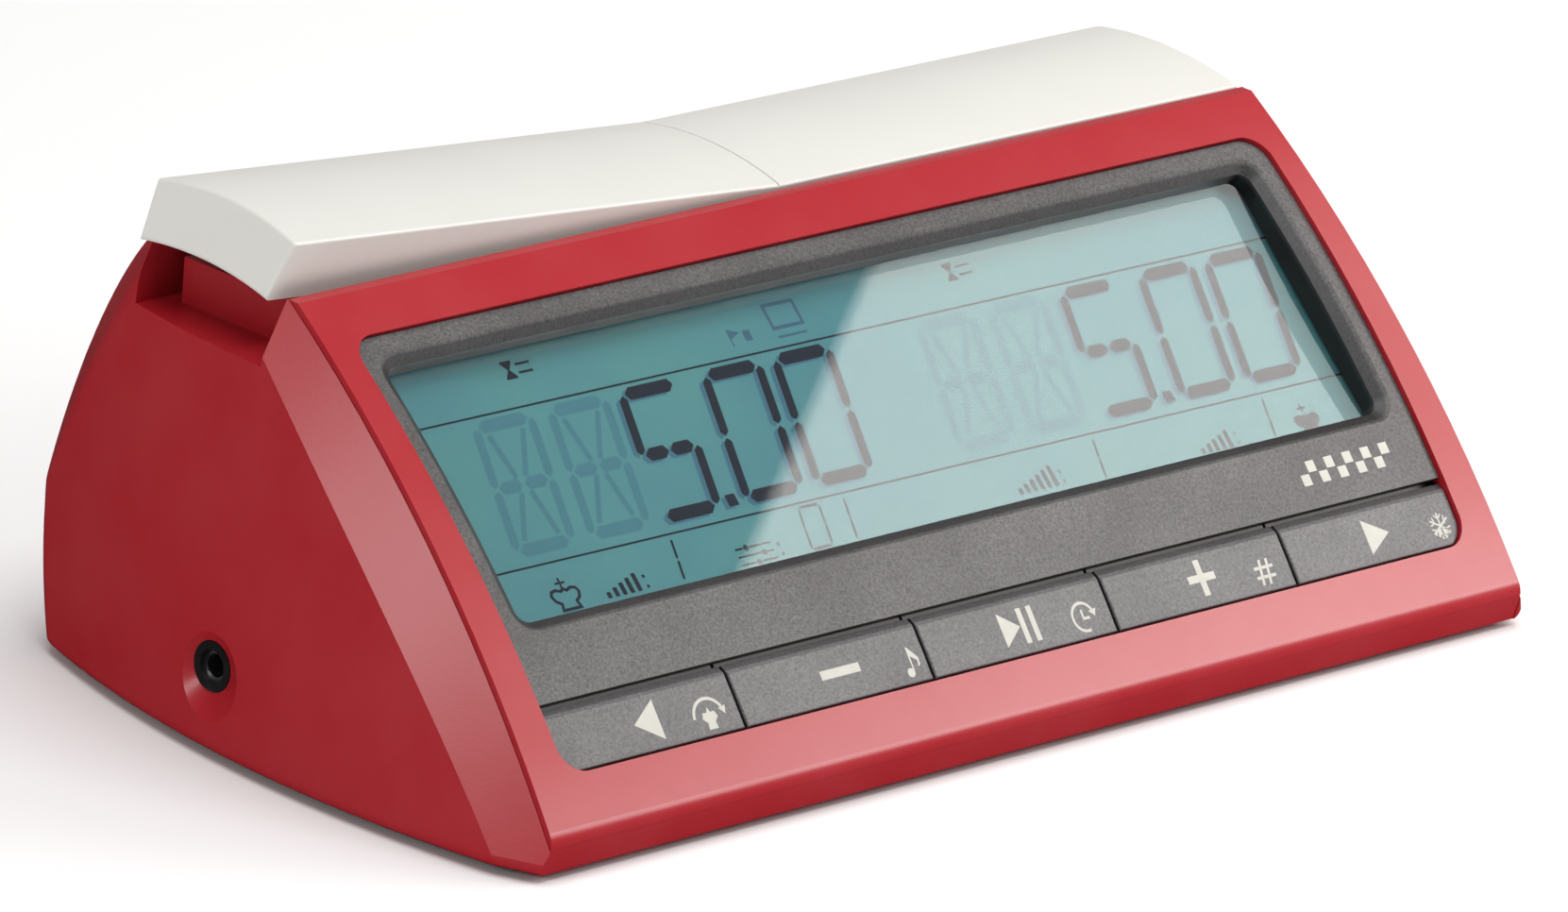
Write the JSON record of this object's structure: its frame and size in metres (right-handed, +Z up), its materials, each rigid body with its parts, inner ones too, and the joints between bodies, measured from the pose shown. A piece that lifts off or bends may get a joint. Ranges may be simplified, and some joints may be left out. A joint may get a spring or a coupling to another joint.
{
  "type": "digital chess clock",
  "caption": "Digital chess clock: wedge case with curved front, wide recessed display, a row of push buttons and a rocker lever along the top.",
  "frame": {"origin": "under the middle of the clock, on the plane its feet stand on", "axes": "+X to the right as the players' display is read, +Y from the display towards the back, +Z up"},
  "size_m": [0.2194, 0.1178, 0.0788],
  "materials": {
    "red_plastic": "finely grained satin",
    "grey_plastic": "satin, faint speckle",
    "button_plastic": "satin, fine speckle",
    "white_plastic": "satin off-white",
    "dark_plastic": "fine matte",
    "window": "clear, glossy",
    "lcd": "pale grey-green display",
    "soft_rubber": "matt",
    "black_rubber": "matt",
    "circuit_board": "green solder mask",
    "black_component": "moulded black",
    "plated_metal": "nickel plated",
    "steel": "zinc plated",
    "cell_wrap": "glossy sleeve",
    "label": "blank satin label"
  },
  "bodies": {
    "case": {"front_shell": "red_plastic", "rear_shell": "red_plastic", "base_plate": "dark_plastic", "front_panel": "grey_plastic", "display_window": "window", "lcd_glass": "lcd", "lcd_frame": "dark_plastic", "zebra_strips": "soft_rubber", "main_board": "circuit_board", "microcontroller": "black_component", "crystal_oscillator": "plated_metal", "board_capacitors": "black_component", "buzzer": "black_component", "board_screws": "steel", "keypad_mat": "soft_rubber", "rocker_axle": "steel", "sensor_boards": "circuit_board", "hall_sensors": "black_component", "stop_bumpers": "soft_rubber", "jack_socket": "black_component", "jack_sleeve": "plated_metal", "jack_board": "circuit_board", "battery_front": "cell_wrap", "battery_rear": "cell_wrap", "battery_contacts": "plated_metal", "battery_springs": "plated_metal", "base_screws": "steel", "rubber_feet": "black_rubber", "power_switch": "black_component", "power_board": "circuit_board", "rating_label": "label"},
    "lever": {"rocker_lever": "white_plastic", "lever_magnets": "plated_metal"},
    "key_back": {"button_back": "button_plastic"},
    "key_minus": {"button_minus": "button_plastic"},
    "key_play_pause": {"button_play_pause": "button_plastic"},
    "key_plus": {"button_plus": "button_plastic"},
    "key_forward": {"button_forward": "button_plastic"},
    "key_power": {"power_button": "button_plastic"},
    "door": {"battery_door": "dark_plastic"}
  },
  "joints": [
    {"name": "rocker_tilt", "type": "hinge", "parent": "case", "child": "lever", "pos_m": [0, 0.021, 0.063], "axis": [0, -1, 0], "range_deg": [0, 4.6]},
    {"name": "press_back", "type": "slide", "parent": "case", "child": "key_back", "axis": [0, 0.7863, -0.6178], "range_m": [0, 0.0008], "stiffness_N_per_m": 1800, "springref_m": -0.0006},
    {"name": "press_minus", "type": "slide", "parent": "case", "child": "key_minus", "axis": [0, 0.7863, -0.6178], "range_m": [0, 0.0008], "stiffness_N_per_m": 1800, "springref_m": -0.0006},
    {"name": "press_play_pause", "type": "slide", "parent": "case", "child": "key_play_pause", "axis": [0, 0.7863, -0.6178], "range_m": [0, 0.0008], "stiffness_N_per_m": 1800, "springref_m": -0.0006},
    {"name": "press_plus", "type": "slide", "parent": "case", "child": "key_plus", "axis": [0, 0.7863, -0.6178], "range_m": [0, 0.0008], "stiffness_N_per_m": 1800, "springref_m": -0.0006},
    {"name": "press_forward", "type": "slide", "parent": "case", "child": "key_forward", "axis": [0, 0.7863, -0.6178], "range_m": [0, 0.0008], "stiffness_N_per_m": 1800, "springref_m": -0.0006},
    {"name": "press_power", "type": "slide", "parent": "case", "child": "key_power", "axis": [0, 0, 1], "range_m": [0, 0.001], "stiffness_N_per_m": 1500, "springref_m": -0.0005},
    {"name": "door_lift_off", "type": "slide", "parent": "case", "child": "door", "axis": [0, 0, -1], "range_m": [0, 0.02]}
  ]
}
